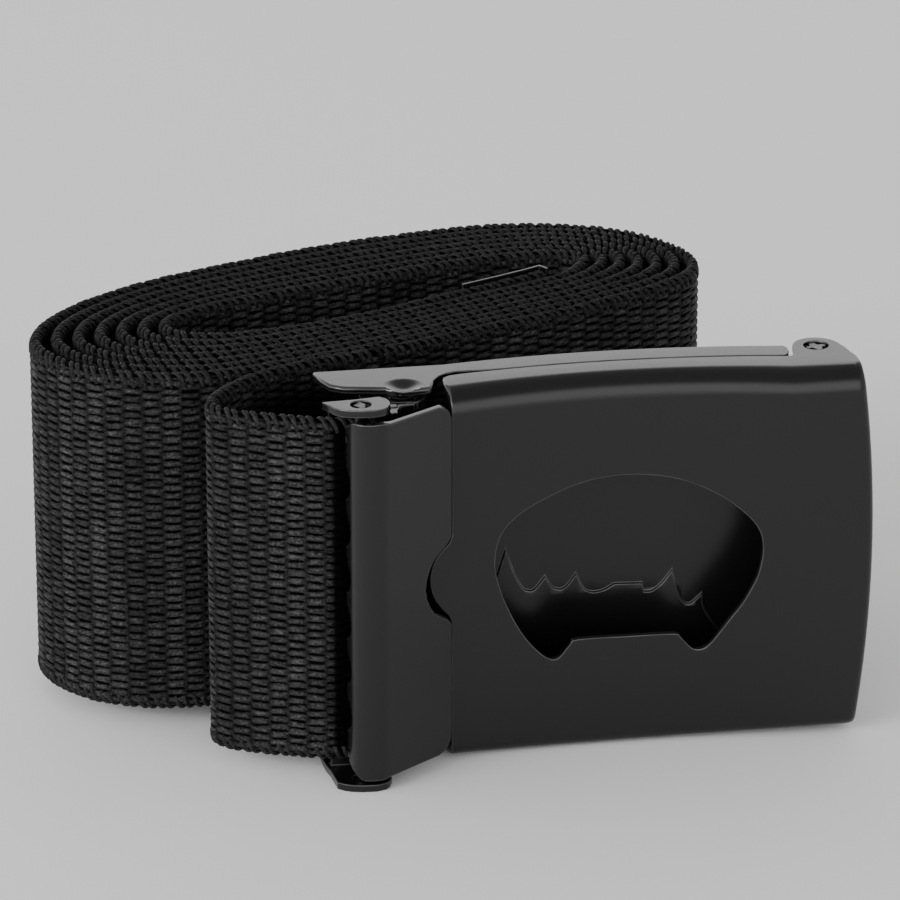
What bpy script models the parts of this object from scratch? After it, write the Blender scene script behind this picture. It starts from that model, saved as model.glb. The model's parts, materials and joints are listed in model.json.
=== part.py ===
"""Web belt with a flip-top clamp buckle, rolled up and standing on its edge.

Frame: +X along the buckle to its right, -Y out of the buckle's front, +Z up across the webbing.
All sizes below are millimetres in the buckle's own frame (its lower left front corner at zero);
ORIGIN moves the finished pieces so that the bounding box stands centred on zero.
"""
import bmesh
import bpy
import numpy as np
from math import cos, pi, radians, sin

MM = 0.001
ORIGIN = (2.16, 26.23, -1.00)      # bounding box bottom centre, in buckle millimetres

# ---------------------------------------------------------------- driving dimensions
WEB_W, WEB_T, WEB_Z0 = 40.0, 1.25, 1.25   # webbing width, thickness, height of its lower edge
BUCKLE_H = 42.5                    # cover and base, over their flanges
MID_Z = BUCKLE_H / 2
SHEET = 0.85                       # sheet metal
COVER_L, SEAM = 45.7, 5.7          # cover length, depth where its flanges meet the base's
BEND = (1.2, 2.6)                  # outside radius of the cover's lower and upper long edge
BASE_BACK = 9.0                    # rear face of the base
BASE_L, BASE_R = 1.0, 39.2
COVER_PIN = (42.1, 8.4)            # cover hinge axis
CLAMP_AXIS = (-4.9, 3.4)           # pressed-in dimples: base on clamp body
LEVER_PIN = (-10.6, -4.4)          # clamp lever axis
EAR_R = 2.6
SAG, SAG_BACK = 1.2, 0.5           # hollow of the buckle's front, and from the seam backwards
BARREL, TAPER = 0.38, 0.4          # bulge of the long edges, drop of the lower one at the lever's end
END_BULGE = 1.6                    # bulge of the cover's right end

# Coil: innermost and outermost guide loops, walked outwards from the strap tip
INNER = [(17.9, 41.2), (3.5, 34.5), (-9.0, 29.4), (-19.1, 27.2), (-24.8, 27.9), (-26.7, 30.7),
         (-24.9, 33.8), (-18.7, 37.4), (-7.8, 41.1), (4.2, 44.9), (13.9, 47.4), (19.4, 47.8),
         (21.6, 46.5), (20.3, 44.3)]
OUTER = [(22.3, 31.0), (8.3, 25.0), (-5.2, 19.4), (-24.9, 13.3), (-37.5, 16.1), (-43.8, 25.7),
         (-40.9, 35.4), (-30.8, 44.8), (-14.1, 52.7), (0.0, 57.2), (15.5, 59.4), (28.2, 55.8),
         (35.0, 47.3), (34.1, 38.8)]
TURNS = 7
# Free run: off the coil, round the tight turn and into the clamp
LEAD = [(-10.5, 17.7), (-15.0, 15.9), (-19.3, 13.5), (-22.7, 10.3), (-24.9, 7.2), (-25.5, 4.6),
        (-24.3, 2.8), (-22.0, 1.4), (-19.0, 0.1), (-16.2, -1.0), (-13.5, -1.8), (-10.8, -1.9),
        (-7.3, -1.8)]
TIP_LIFT, TIP_LEN, TIP_T = 0.8, 11.0, 0.3


# ---------------------------------------------------------------- mesh helpers
def solid(name, bm):
    """Close the working mesh into an object of the scene, faces outwards."""
    bmesh.ops.recalc_face_normals(bm, faces=bm.faces)
    mesh = bpy.data.meshes.new(name)
    bm.to_mesh(mesh)
    bm.free()
    obj = bpy.data.objects.new(name, mesh)
    bpy.context.scene.collection.objects.link(obj)
    return obj


def prism(name, outline, low, high, along="z"):
    """Closed outline (two coordinates each) pushed along one axis."""
    place = {"z": lambda a, b: (a, b, low), "y": lambda a, b: (a, low, b), "x": lambda a, b: (low, a, b)}
    bm = bmesh.new()
    start = bm.faces.new([bm.verts.new(place[along](a, b)) for a, b in outline])
    end = bmesh.ops.extrude_face_region(bm, geom=[start])["geom"]
    step = {"z": (0, 0, high - low), "y": (0, high - low, 0), "x": (high - low, 0, 0)}[along]
    bmesh.ops.translate(bm, vec=step, verts=[g for g in end if isinstance(g, bmesh.types.BMVert)])
    return solid(name, bm)


def box(name, x, y, z):
    return prism(name, [(x[0], y[0]), (x[1], y[0]), (x[1], y[1]), (x[0], y[1])], *z)


def arc(centre, radius, start, stop, steps=6):
    turns = [radians(start + (stop - start) * k / steps) for k in range(steps + 1)]
    return [(centre[0] + radius * cos(a), centre[1] + radius * sin(a)) for a in turns]


def circle(centre, radius, steps=32):
    return arc(centre, radius, 0, 360 - 360 / steps, steps - 1)


def rounded(points, steps=3):
    """Smooth closed curve through the points; a point given with a third value keeps its corner."""
    out = []
    n = len(points)
    for k in range(n):
        b, c = np.array(points[k][:2]), np.array(points[(k + 1) % n][:2])
        a = 2 * b - c if len(points[k]) > 2 else np.array(points[k - 1][:2])
        d = 2 * c - b if len(points[(k + 1) % n]) > 2 else np.array(points[(k + 2) % n][:2])
        for f in np.arange(steps) / steps:
            p = 0.5 * (2 * b + (c - a) * f + (2 * a - 5 * b + 4 * c - d) * f ** 2
                       + (3 * b - a - 3 * c + d) * f ** 3)
            out.append((float(p[0]), float(p[1])))
    return out


def mirrored(half):
    """A bump's outline from its upper half, given as (reach, height over its middle)."""
    return half + [(x, -z) for x, z in half[::-1] if z > 0]


def combine(target, tool, how):
    mod = target.modifiers.new(how, "BOOLEAN")
    mod.operation, mod.solver, mod.object = how, "EXACT", tool
    graph = bpy.context.evaluated_depsgraph_get()
    mesh = bpy.data.meshes.new_from_object(target.evaluated_get(graph))
    target.modifiers.clear()
    target.data = mesh
    bpy.data.objects.remove(tool)
    return target


def both_sides(target, how, make):
    """Apply a tool at the top edge and its mirror image at the bottom edge."""
    for flip in (False, True):
        tool = make("tool")
        if flip:
            for v in tool.data.vertices:
                v.co.z = BUCKLE_H - v.co.z
            tool.data.flip_normals()
        combine(target, tool, how)


def skin(name, outline, z, radius, reach, steps=6):
    """Upright prism whose front long edges are rounded; the rounding ends at the depth reach."""
    front = min(y for _, y in outline)
    bm = bmesh.new()
    rings = []
    for end, way, r in ((z[0], 1, radius[0]), (z[1], -1, radius[1])):
        for k in range(steps + 1):
            t = pi / 2 * (k if way > 0 else steps - k) / steps
            rings.append([bm.verts.new((x, y + r * (1 - sin(t)) * max(0.0, (reach - y) / (reach - front)),
                                        end + way * r * (1 - cos(t)))) for x, y in outline])
    for here, there in zip(rings, rings[1:]):
        for k in range(len(outline)):
            bm.faces.new((here[k - 1], here[k], there[k], there[k - 1]))
    bm.faces.new(rings[0])
    bm.faces.new(rings[-1])
    return solid(name, bm)


def dent(centre, radius, depth, face):
    """Ball that presses a round dimple of this radius and depth into the face at height z."""
    ball = (radius ** 2 + depth ** 2) / (2 * depth)
    bm = bmesh.new()
    bmesh.ops.create_uvsphere(bm, u_segments=32, v_segments=40, radius=ball)
    bmesh.ops.translate(bm, vec=(*centre, face + ball - depth), verts=bm.verts)
    return solid("tool", bm)


def hollow(x):
    """1 at the middle of the buckle, 0 at its ends and beyond."""
    q = np.clip((x - 19.0) / 19.0, -1.0, 1.0)
    return 1.0 - q * q


def bend(obj, across=4.0, up=5.0):
    """Give the flat buckle parts their hollow front and barrel-shaped long edges."""
    bm = bmesh.new()
    bm.from_mesh(obj.data)
    for x in np.arange(0.5, 38.1, across):
        bmesh.ops.bisect_plane(bm, geom=bm.verts[:] + bm.edges[:] + bm.faces[:], dist=0.0001,
                               plane_co=(x, 0, 0), plane_no=(1, 0, 0))
    for z in np.arange(up, BUCKLE_H, up):
        bmesh.ops.bisect_plane(bm, geom=bm.verts[:] + bm.edges[:] + bm.faces[:], dist=0.0001,
                               plane_co=(0, 0, z), plane_no=(0, 0, 1))
    for v in bm.verts:
        full, low = hollow(v.co.x), max(0.0, 1 - v.co.z / MID_Z)
        v.co.y += full * (SAG + (SAG_BACK - SAG) * np.clip(v.co.y / SEAM, 0, 1))
        v.co.z = MID_Z + (v.co.z - MID_Z) * (1 + BARREL * full / MID_Z)
        v.co.z -= TAPER * low * (1 - v.co.x / COVER_L)
        side = np.clip((v.co.x - 43.0) / 1.5, 0, 1)
        v.co.x += END_BULGE * side * (1 - ((v.co.z - MID_Z) / (MID_Z + 0.5)) ** 2)
    bm.to_mesh(obj.data)
    bm.free()
    return obj


# ---------------------------------------------------------------- the webbing's path
def loop_at(points, s):
    """Closed Catmull-Rom curve through the points; s counts whole turns."""
    pts = np.array(points)
    n = len(pts)
    u = (s % 1.0) * n
    k, f = int(u), u - int(u)
    a, b, c, d = (pts[(k + j) % n] for j in (-1, 0, 1, 2))
    return 0.5 * (2 * b + (c - a) * f + (2 * a - 5 * b + 4 * c - d) * f ** 2
                  + (3 * b - a - 3 * c + d) * f ** 3)


def web_path(step=1 / 56):
    coil = []
    for t in np.arange(0, TURNS + 2 / len(INNER) + step / 2, step):
        inner, outer = loop_at(INNER, t), loop_at(OUTER, t)
        lift = TIP_LIFT * max(0.0, 1 - t / 0.10) ** 0.5 if t < 0.10 else 0.0
        away = (inner - outer) / np.linalg.norm(inner - outer)
        coil.append(inner + (outer - inner) * t / TURNS + away * lift)
    pts = np.array([coil[-12], coil[-6], coil[-1]] + LEAD)
    pts = np.vstack([pts, 2 * pts[-1] - pts[-2]])
    run = []
    for k in range(2, len(pts) - 2):
        a, b, c, d = pts[k - 1:k + 3]
        for f in np.arange(0.2, 1.01, 0.2):
            run.append(0.5 * (2 * b + (c - a) * f + (2 * a - 5 * b + 4 * c - d) * f ** 2
                              + (3 * b - a - 3 * c + d) * f ** 3))
    return np.vstack([coil, run])


def side_of(path):
    tangent = np.gradient(path, axis=0)
    tangent /= np.linalg.norm(tangent, axis=1)[:, None]
    return tangent, np.stack([-tangent[:, 1], tangent[:, 0]], axis=1)


def ribbon(name, path, half, z):
    """A strip of constant thickness standing on edge along the path."""
    _, side = side_of(path)
    left, right = path + side * half, path - side * half
    bm = bmesh.new()
    rings = [[bm.verts.new(c) for c in ((*a, z[0]), (*a, z[1]), (*b, z[1]), (*b, z[0]))]
             for a, b in zip(left, right)]
    for here, there in zip(rings, rings[1:]):
        for j in range(4):
            bm.faces.new((here[j], here[(j + 1) % 4], there[(j + 1) % 4], there[j]))
    bm.faces.new(rings[0])
    bm.faces.new(rings[-1])
    return solid(name, bm)


# ---------------------------------------------------------------- the pieces
def make_strap():
    path = web_path()
    strap = ribbon("strap", path, WEB_T / 2, (WEB_Z0, WEB_Z0 + WEB_W))
    # folded metal end: a channel closed round the strap's cut end
    tangent, _ = side_of(path)
    start, ahead = path[0], -tangent[0]
    line = [start + ahead * s for s in np.linspace(0.6, 0.0, 2)]
    walked, k = 0.0, 1
    while walked < TIP_LEN - 0.6:
        line.append(path[k])
        walked += np.linalg.norm(path[k] - path[k - 1])
        k += 1
    line = np.array(line)
    gap = 0.12
    tip = ribbon("strap_tip", line, WEB_T / 2 + gap + TIP_T, (WEB_Z0 - 0.3, WEB_Z0 + WEB_W + 0.3))
    last = line[-1] + (line[-1] - line[-2]) * 2
    inside = np.vstack([line[0] + (line[1] - line[0]) * 0.5, line[1:], last])
    combine(tip, ribbon("slot", inside, WEB_T / 2 + gap, (-2.0, BUCKLE_H + 2.0)), "DIFFERENCE")
    return strap, tip


TOP_EAR = [(-14.6, -3.0), (-14.0, -4.1), (-13.55, -5.1), (-12.8, -5.8), (-12.0, -6.2), (-10.9, -6.45),
           (-9.4, -6.55), (-8.3, -6.2), (-7.8, -5.6), (-7.45, -4.7), (-7.43, -3.8), (-7.65, -3.0),
           (-8.3, -2.3), (-11.0, -2.75)]
LOW_EAR = TOP_EAR[2:11] + [(-7.2, 0.2), (-13.0, 0.4), (-13.3, 2.6), (-14.3, 2.8), (-14.26, 1.0),
                           (-14.13, -0.4), (-13.85, -1.9)]


def clamp_body():
    """U bracket: ears for the lever pin, back plate behind the webbing, lugs under the base's leaves."""
    body = box("clamp_body", (-13.6, -6.0), (-0.7, 0.2), (-0.6, BUCKLE_H - 0.9))
    combine(body, prism("ear", TOP_EAR, 42.65, 43.5), "UNION")
    combine(body, prism("ear", LOW_EAR, -1.0, -0.15), "UNION")
    combine(body, box("neck", (-12.6, -8.6), (-3.1, -2.4), (41.45, 42.8)), "UNION")
    combine(body, box("neck", (-12.6, -8.6), (-3.1, 0.2), (41.45, 42.05)), "UNION")
    lug = ([(-9.6, -0.9), (-7.2, -0.9), (-7.2, 1.5), (-4.9, 1.3)] + arc(CLAMP_AXIS, EAR_R, -60, 125, 10)
           + [(-9.5, 4.5)])
    both_sides(body, "UNION", lambda name: prism(name, lug, 40.4, 41.3))
    curl = arc((-4.4, -2.0), 2.65, 80, 188, 12) + arc((-4.4, -2.0), 1.85, 188, 80, 12)
    combine(body, prism("curl", curl, 1.0, 41.5), "UNION")
    combine(body, prism("bore", circle(CLAMP_AXIS, 1.55), -3, 46), "DIFFERENCE")
    return combine(body, prism("bore", circle(LEVER_PIN, 1.15), -3, 46), "DIFFERENCE")


LEVER_FRONT = [(-12.2, -3.6), (-12.15, -4.6), (-11.95, -5.5), (-11.6, -6.2), (-11.1, -6.7), (-10.5, -6.98),
               (-9.8, -7.08), (-9.1, -7.02), (-8.5, -6.85), (-7.8, -6.5), (-0.15, -0.95)]
LEVER_BACK = [(-0.65, -0.28), (-8.2, -5.8), (-9.1, -6.2), (-9.8, -6.28), (-10.6, -6.1), (-11.1, -5.6),
              (-11.35, -4.6), (-11.4, -3.6)]
NOTCH = mirrored([(0.6, 6.4), (-0.16, 5.1), (-0.72, 4.4), (-1.55, 3.8), (-2.35, 3.1), (-2.85, 2.2),
                  (-3.25, 1.1), (-3.4, 0.0)])
TAB = mirrored([(0.5, 6.0), (0.0, 5.0), (-0.35, 4.2), (-1.1, 3.4), (-1.8, 2.5), (-2.2, 1.5), (-2.4, 0.5),
                (-2.42, 0.0)])


def lever():
    """Cam lever: wing to the thumb notch, ridge, and the band with its toothed biting edge."""
    made = prism("clamp_lever", LEVER_FRONT + LEVER_BACK, 0.5, BUCKLE_H - 0.5)
    ear = [(-11.2, -6.2), (-8.9, -6.2)] + arc(LEVER_PIN, 1.65, 0, 180, 10)
    both_sides(made, "UNION", lambda name: prism(name, ear, 39.2, 40.1))
    combine(made, prism("bore", circle(LEVER_PIN, 1.0), -3, 46), "DIFFERENCE")
    low = [(-3.0, 3.0), (-3.6, 2.56), (-5.5, 1.4), (-6.3, 0.95), (-6.9, 0.4), (-6.9, -1.0), (-3.0, -1.0)]
    high = [(-3.0, 40.3), (-3.6, 40.6), (-5.5, 41.75), (-6.2, 42.05), (-6.2, 43.5), (-3.0, 43.5)]
    for corner in (low, high):
        combine(made, prism("corner", corner, -13.0, -10.9, "x"), "DIFFERENCE")
    for k in range(6):
        gullet = circle((-3.25, 7.5 + 5.4 * k), 2.1, 24)
        combine(made, prism("gullet", gullet, -13.0, -11.2, "x"), "DIFFERENCE")
    tip = [(-8.6, 42.7), (-8.6, 42.03), (-7.6, 41.8), (-1.7, 41.7), (-1.1, 41.45), (-0.5, 40.8), (-0.2, 40.0),
           (-0.14, 39.1), (0.5, 39.1), (0.5, 42.7)]
    both_sides(made, "DIFFERENCE", lambda name: prism(name, tip, -8.0, 2.0, "y"))
    notch = [(x, z + 21.1) for x, z in NOTCH]
    return combine(made, prism("notch", notch, -6.0, 2.0, "y"), "DIFFERENCE")


OPENER = [(4.9, 21.9), (5.5, 25.2), (7.6, 27.5), (10.6, 29.1), (14.3, 30.5), (18.1, 31.1), (21.8, 31.0),
          (25.5, 30.3), (29.2, 28.7), (32.1, 26.7), (34.2, 24.4), (34.8, 22.0), (34.4, 19.2), (33.6, 17.3),
          (32.6, 15.5), (31.3, 13.8), (29.5, 11.4), (28.6, 10.6), (27.8, 10.4), (27.0, 10.7), (25.9, 11.9),
          (25.1, 12.4), (20.1, 12.45), (14.3, 12.5), (13.4, 12.0), (12.4, 10.8), (11.7, 10.4),
          (10.9, 10.6), (10.0, 11.3), (8.8, 12.6), (7.7, 14.2), (6.6, 16.3), (5.6, 18.8)]
PANEL = [(32.0, 3.0, 1), (4.2, 3.0, 1), (4.2, 13.0, 1), (6.0, 16.4), (7.4, 20.5, 1), (8.5, 17.4), (9.3, 16.0),
         (9.9, 15.6), (10.7, 15.7), (11.9, 17.1, 1), (12.6, 15.9), (13.5, 15.5), (14.3, 15.8), (15.4, 17.2, 1),
         (16.2, 15.5), (17.3, 14.9), (18.6, 15.1), (19.7, 15.7, 1), (22.9, 15.6, 1), (23.1, 14.6, 1),
         (24.0, 14.6), (25.1, 15.4), (26.3, 16.9, 1), (27.0, 14.1), (27.6, 13.1), (28.4, 12.8), (29.7, 13.9, 1),
         (30.0, 12.0), (32.0, 9.0, 1)]


def cover():
    """Flip-top cover: hollow front, flanges, hinge ears, thumb tab, biting heel, bottle-opener hole."""
    far = COVER_L
    end = arc((far - 1.0, 1.0), 1.0, -90, 0, 6)
    outline = [(0, 0)] + end + [(far, 2.9), (far - 0.1, 4.3), (far - 0.3, 5.7), (far - 0.6, 7.4)]
    outline += arc(COVER_PIN, EAR_R, 18, 180, 16) + [(39.2, 6.6), (38.9, SEAM - 0.15), (4.7, SEAM - 0.15)]
    outline += [(1.9, SEAM - 0.15), (0.55, 5.3), (-0.1, 4.5), (-0.35, 3.2), (-0.42, 1.8), (-0.3, 0.9)]
    made = skin("cover_plate", outline, (0, BUCKLE_H), BEND, SEAM)
    inner = [(-3, SHEET), (far - 1.0, SHEET), (far - SHEET, 1.0), (far - SHEET, SEAM), (far - 1.2, 13)]
    inner += [(-3, 13)]
    tray = skin("tray", inner, (SHEET, BUCKLE_H - SHEET), [r - SHEET for r in BEND], SEAM, 4)
    combine(made, tray, "DIFFERENCE")
    combine(made, prism("tab", [(x, z + 20.8) for x, z in TAB], 0, SHEET, "y"), "UNION")
    teeth = [(0.4, 2.4)] + [(6.4 if k % 2 else 5.6, 2.4 + 2.2 * k) for k in range(18)] + [(0.4, 39.8)]
    combine(made, prism("heel", teeth, 36.0, 36.9, "x"), "UNION")
    combine(made, prism("opener", rounded(OPENER), -1, 1.5, "y"), "DIFFERENCE")
    combine(made, prism("bore", circle(COVER_PIN, 1.4), -1, 44), "DIFFERENCE")
    return bend(made)


def base():
    """Back plate, flanges ending in dimpled leaves, inner hinge ears, raised toothed panel."""
    seam = SEAM + 0.15
    made = box("base_frame", (BASE_L, 38.7), (BASE_BACK - SHEET, BASE_BACK), (0.3, BUCKLE_H - 0.3))
    combine(made, box("end", (38.0, 40.6), (BASE_BACK - SHEET, BASE_BACK), (1.5, 41.0)), "UNION")
    leaf = [(38.5, BASE_BACK), (38.85, 8.3), (38.8, 7.2), (38.5, 6.3), (38.0, seam), (6.5, seam), (4.8, 5.95),
            (2.9, 6.25), (1.5, 6.45), (0.45, 6.3), (-0.5, 5.6), (-1.3, 4.35), (-1.65, 2.8), (-1.95, 2.1),
            (-3.5, 1.9), (-4.9, 1.7), (-5.9, 2.0), (-6.5, 2.6), (-6.9, 2.88), (-7.4, 2.9), (-9.4, 3.3),
            (-11.4, 3.75), (-12.7, 4.7), (-13.4, 6.4), (-14.0, BASE_BACK)]
    both_sides(made, "UNION", lambda name: prism(name, leaf, BUCKLE_H - SHEET, BUCKLE_H))
    ear = [(36.9, 6.7), (COVER_PIN[0], 6.1)] + arc(COVER_PIN, 2.3, -90, 90, 12) + [(39.0, 8.9), (36.9, 8.9)]
    both_sides(made, "UNION", lambda name: prism(name, ear, 40.4, 41.2))
    both_sides(made, "UNION", lambda name: prism(name, circle(CLAMP_AXIS, 1.65), 41.4, 42.0))
    both_sides(made, "UNION", lambda name: prism(name, circle(CLAMP_AXIS, 1.2), 40.6, 41.6))
    both_sides(made, "DIFFERENCE", lambda name: dent((-4.8, 3.6), 1.75, 0.5, BUCKLE_H))
    combine(made, prism("panel", rounded(PANEL), BASE_BACK - SHEET - 0.4, BASE_BACK - 0.3, "y"), "UNION")
    combine(made, prism("bore", circle(COVER_PIN, 1.4), -1, 44), "DIFFERENCE")
    return bend(made)


def paint(name, colour, roughness, metallic):
    made = bpy.data.materials.new(name)
    made.use_nodes = True
    shader = made.node_tree.nodes["Principled BSDF"]
    shader.inputs["Base Color"].default_value = (*colour, 1)
    shader.inputs["Roughness"].default_value = roughness
    shader.inputs["Metallic"].default_value = metallic
    return made


def settle(obj, material, axis=None):
    """Buckle millimetres to world metres, with the object's origin on its own hinge axis."""
    at = np.array([*axis, MID_Z]) if axis else np.array(ORIGIN)
    for v in obj.data.vertices:
        v.co = (np.array(v.co) - at) * MM
    obj.location = (at - ORIGIN) * MM
    obj.data.materials.append(material)
    obj.data.shade_smooth()
    obj.data.set_sharp_from_angle(angle=0.6)


for old in list(bpy.data.objects):
    bpy.data.objects.remove(old)
webbing = paint("webbing", (0.013, 0.013, 0.014), 0.7, 0.0)
enamel = paint("black_enamel", (0.022, 0.022, 0.023), 0.38, 0.2)
steel = paint("dark_steel", (0.09, 0.09, 0.09), 0.35, 1.0)

strap, strap_tip = make_strap()
settle(strap, webbing)
settle(strap_tip, enamel)
settle(clamp_body(), enamel)
settle(lever(), enamel, LEVER_PIN)
settle(cover(), enamel, COVER_PIN)
settle(base(), enamel, CLAMP_AXIS)
settle(prism("clamp_pin", circle(LEVER_PIN, 0.7, 20), -0.8, BUCKLE_H + 0.8), steel)
settle(prism("cover_pin", circle(COVER_PIN, 1.05), 0.35, BUCKLE_H - 0.35), steel, COVER_PIN)
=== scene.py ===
"""Rolled web belt with a flip-top clamp buckle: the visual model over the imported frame.

Shapes are worked out in buckle millimetres (x along the buckle, y away from the viewer, z up), whose zero is
the cover's lower front corner, and moved to the frame with `world()`.
"""

import bmesh
import bpy
import json
import numpy as np
from math import cos, pi, radians, sin
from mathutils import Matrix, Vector

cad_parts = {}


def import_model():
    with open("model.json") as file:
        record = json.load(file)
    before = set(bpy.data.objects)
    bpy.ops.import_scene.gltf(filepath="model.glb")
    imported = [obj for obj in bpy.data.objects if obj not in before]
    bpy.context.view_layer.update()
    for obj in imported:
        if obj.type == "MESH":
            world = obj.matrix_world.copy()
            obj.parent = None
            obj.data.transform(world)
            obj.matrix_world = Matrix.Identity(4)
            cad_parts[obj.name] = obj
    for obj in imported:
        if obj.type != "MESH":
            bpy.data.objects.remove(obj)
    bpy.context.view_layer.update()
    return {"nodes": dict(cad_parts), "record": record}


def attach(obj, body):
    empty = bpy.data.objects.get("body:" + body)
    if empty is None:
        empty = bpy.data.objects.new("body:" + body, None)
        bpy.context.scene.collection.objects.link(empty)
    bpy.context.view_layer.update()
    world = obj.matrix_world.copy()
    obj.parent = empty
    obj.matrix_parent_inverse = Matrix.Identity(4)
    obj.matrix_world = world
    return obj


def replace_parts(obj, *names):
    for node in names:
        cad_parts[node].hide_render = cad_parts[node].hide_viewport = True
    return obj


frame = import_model()

MM = 0.001
JOINTS = {j["name"]: j for j in frame["record"]["behaviour"]["joints"]}
COVER_PIN = (42.1, 8.4)            # cover hinge axis
FLOOR_Z = 1.0                      # the lower clamp ear stands this far below the cover
ORIGIN = np.array([JOINTS["cover_flip"]["pos_m"][0] / MM - COVER_PIN[0],
                   JOINTS["cover_flip"]["pos_m"][1] / MM - COVER_PIN[1], FLOOR_Z])


def world(points):
    """Buckle millimetres to frame metres."""
    return (np.asarray(points, float) + ORIGIN) * MM


# ---------------------------------------------------------------- webbing
WEB_W, WEB_Z0 = 40.0, 1.25
HALF = 0.50                        # half thickness under the woven relief
FLOAT, GAP = 0.15, 0.34            # how far a warp float stands out, and how deep the slit beside it is
PICK = 2.1                         # one weft pick along the strap
SELVEDGE = 0.70                    # rounding of the woven edge
ROWS = 41                          # pairs of warp ends across the strap
ROW = (WEB_W - 2 * SELVEDGE) / ROWS
LOOP_R, LOOP_REACH, LOOP_SLANT = 0.30, 0.78, 0.85   # selvedge yarn: radius, height, slant over the edge
TURNS = 7
INNER = [(17.9, 41.2), (3.5, 34.5), (-9.0, 29.4), (-19.1, 27.2), (-24.8, 27.9), (-26.7, 30.7),
         (-24.9, 33.8), (-18.7, 37.4), (-7.8, 41.1), (4.2, 44.9), (13.9, 47.4), (19.4, 47.8),
         (21.6, 46.5), (20.3, 44.3)]
OUTER = [(22.3, 31.0), (8.3, 25.0), (-5.2, 19.4), (-24.9, 13.3), (-37.5, 16.1), (-43.8, 25.7),
         (-40.9, 35.4), (-30.8, 44.8), (-14.1, 52.7), (0.0, 57.2), (15.5, 59.4), (28.2, 55.8),
         (35.0, 47.3), (34.1, 38.8)]
LEAD = [(-10.5, 17.7), (-15.0, 15.9), (-19.3, 13.5), (-22.7, 10.3), (-24.9, 7.2), (-25.5, 4.6),
        (-24.3, 2.8), (-22.0, 1.4), (-19.0, 0.1), (-16.2, -1.0), (-13.5, -1.8), (-10.8, -1.9),
        (-7.3, -1.8)]
TIP_LIFT, TIP_LEN, TIP_T = 0.8, 11.0, 0.3   # strap tip: lift off the next layer, length, sheet
TIP_LIFT_TURNS = 0.10              # turns over which the lifted end comes back to the roll
STEP_OFF = (-215, -108, -1)        # samples of the roll that steer the run off it
PROBE = 0.4                        # distance over which the path's direction is taken
WANDER = 0.5                       # how far the slits stray from their rows
MOUTH_SHADE, MOUTH_SHADE_FADE = 5.7, 1.0       # webbing at the strap's end, in and at the clamp, painted dark as shade, and the soft border of that painted shade
POCKET_SHADE_RUN = (11.0, 6.5)          # painted shade on the turn's inside, over this stretch before the roll's end
POCKET_SHADE_DEEP = (0.5, 4.0)           # and over this depth below the strap's upper edge


def catmull(points, u):
    """Catmull-Rom curve through rows of points; u in units of one point, ends held by the caller."""
    k = np.clip(np.floor(u).astype(int), 1, len(points) - 3)
    f = (u - k)[:, None]
    a, b, c, d = (points[k + j] for j in (-1, 0, 1, 2))
    return 0.5 * (2 * b + (c - a) * f + (2 * a - 5 * b + 4 * c - d) * f ** 2
                  + (3 * b - a - 3 * c + d) * f ** 3)


def around(points, t):
    """Closed curve: t counts whole turns."""
    pts = np.array(points)
    n = len(pts)
    return catmull(np.vstack([pts[-1:], pts, pts[:3]]), (t % 1.0) * n + 1)


class Path:
    """The webbing's centre line, measured along its length from the strap tip."""

    def __init__(self):
        t = np.arange(0, TURNS + 2 / len(INNER) + 0.0005, 0.001)
        inner, outer = around(INNER, t), around(OUTER, t)
        away = (inner - outer) / np.linalg.norm(inner - outer, axis=1)[:, None]
        lift = TIP_LIFT * np.sqrt(np.clip(1 - t / TIP_LIFT_TURNS, 0, 1))
        coil = inner + (outer - inner) * (t / TURNS)[:, None] + away * lift[:, None]
        knots = np.vstack([coil[list(STEP_OFF)], LEAD])
        knots = np.vstack([knots, 2 * knots[-1] - knots[-2]])
        run = catmull(knots, np.arange(2.01, len(knots) - 2 + 0.001, 0.01))
        self.points = np.vstack([coil, run])
        steps = np.linalg.norm(np.diff(self.points, axis=0), axis=1)
        self.length = np.concatenate([[0], np.cumsum(steps)])
        self.turn_at = lambda turns: float(np.interp(turns, t, self.length[:len(t)]))
        self.total = float(self.length[-1])

    def at(self, s):
        """Centre, and the unit vector to the left of the walk (the roll's outer side)."""
        def centre(q):
            return np.stack([np.interp(q, self.length, self.points[:, k]) for k in (0, 1)], 1)
        ahead = centre(s + PROBE) - centre(s - PROBE)
        ahead /= np.linalg.norm(ahead, axis=1)[:, None]
        return centre(s), np.stack([-ahead[:, 1], ahead[:, 0]], 1)


path = Path()
JITTER = np.random.RandomState(11).rand(700, 4)    # one row of chances per pick


def ramp(x, start, stop):
    """0 before start, 1 after stop, smooth between them; start may be the larger one."""
    f = np.clip((x - start) / (stop - start), 0, 1)
    return f * f * (3 - 2 * f)


SLIT = ((0.66, 0.94), (0.96, 0.78))    # where the slit begins across a float, and ends along it
CROWN = (0.35, 0.25)                   # fall of a float's crown along and across it, as shares of FLOAT
DIVE = 0.6                             # slope with which a float goes under the next pick


def weave(s, v, flip):
    """Height of the woven face. Each warp end floats over one pick and dives under the next while its
    neighbours do the opposite, so the floats lie like bricks with a short slit between any two that touch
    side by side. flip swaps them on the strap's other face."""
    height = np.full(s.shape, -1.0)
    for phase in (0.0, 0.5):
        col, row = s / (2 * PICK) + phase, v / ROW + (phase + flip * 0.5)
        x, y = 4 * np.abs(col - np.round(col)), 2 * np.abs(row - np.round(row))
        crown = FLOAT * (1 - CROWN[0] * x ** 2 - CROWN[1] * y ** 2) - DIVE * np.clip(x - 1, 0, 1)
        height = np.maximum(height, crown - GAP * ramp(y, *SLIT[0]) * ramp(x, *SLIT[1]))
    return height


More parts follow.
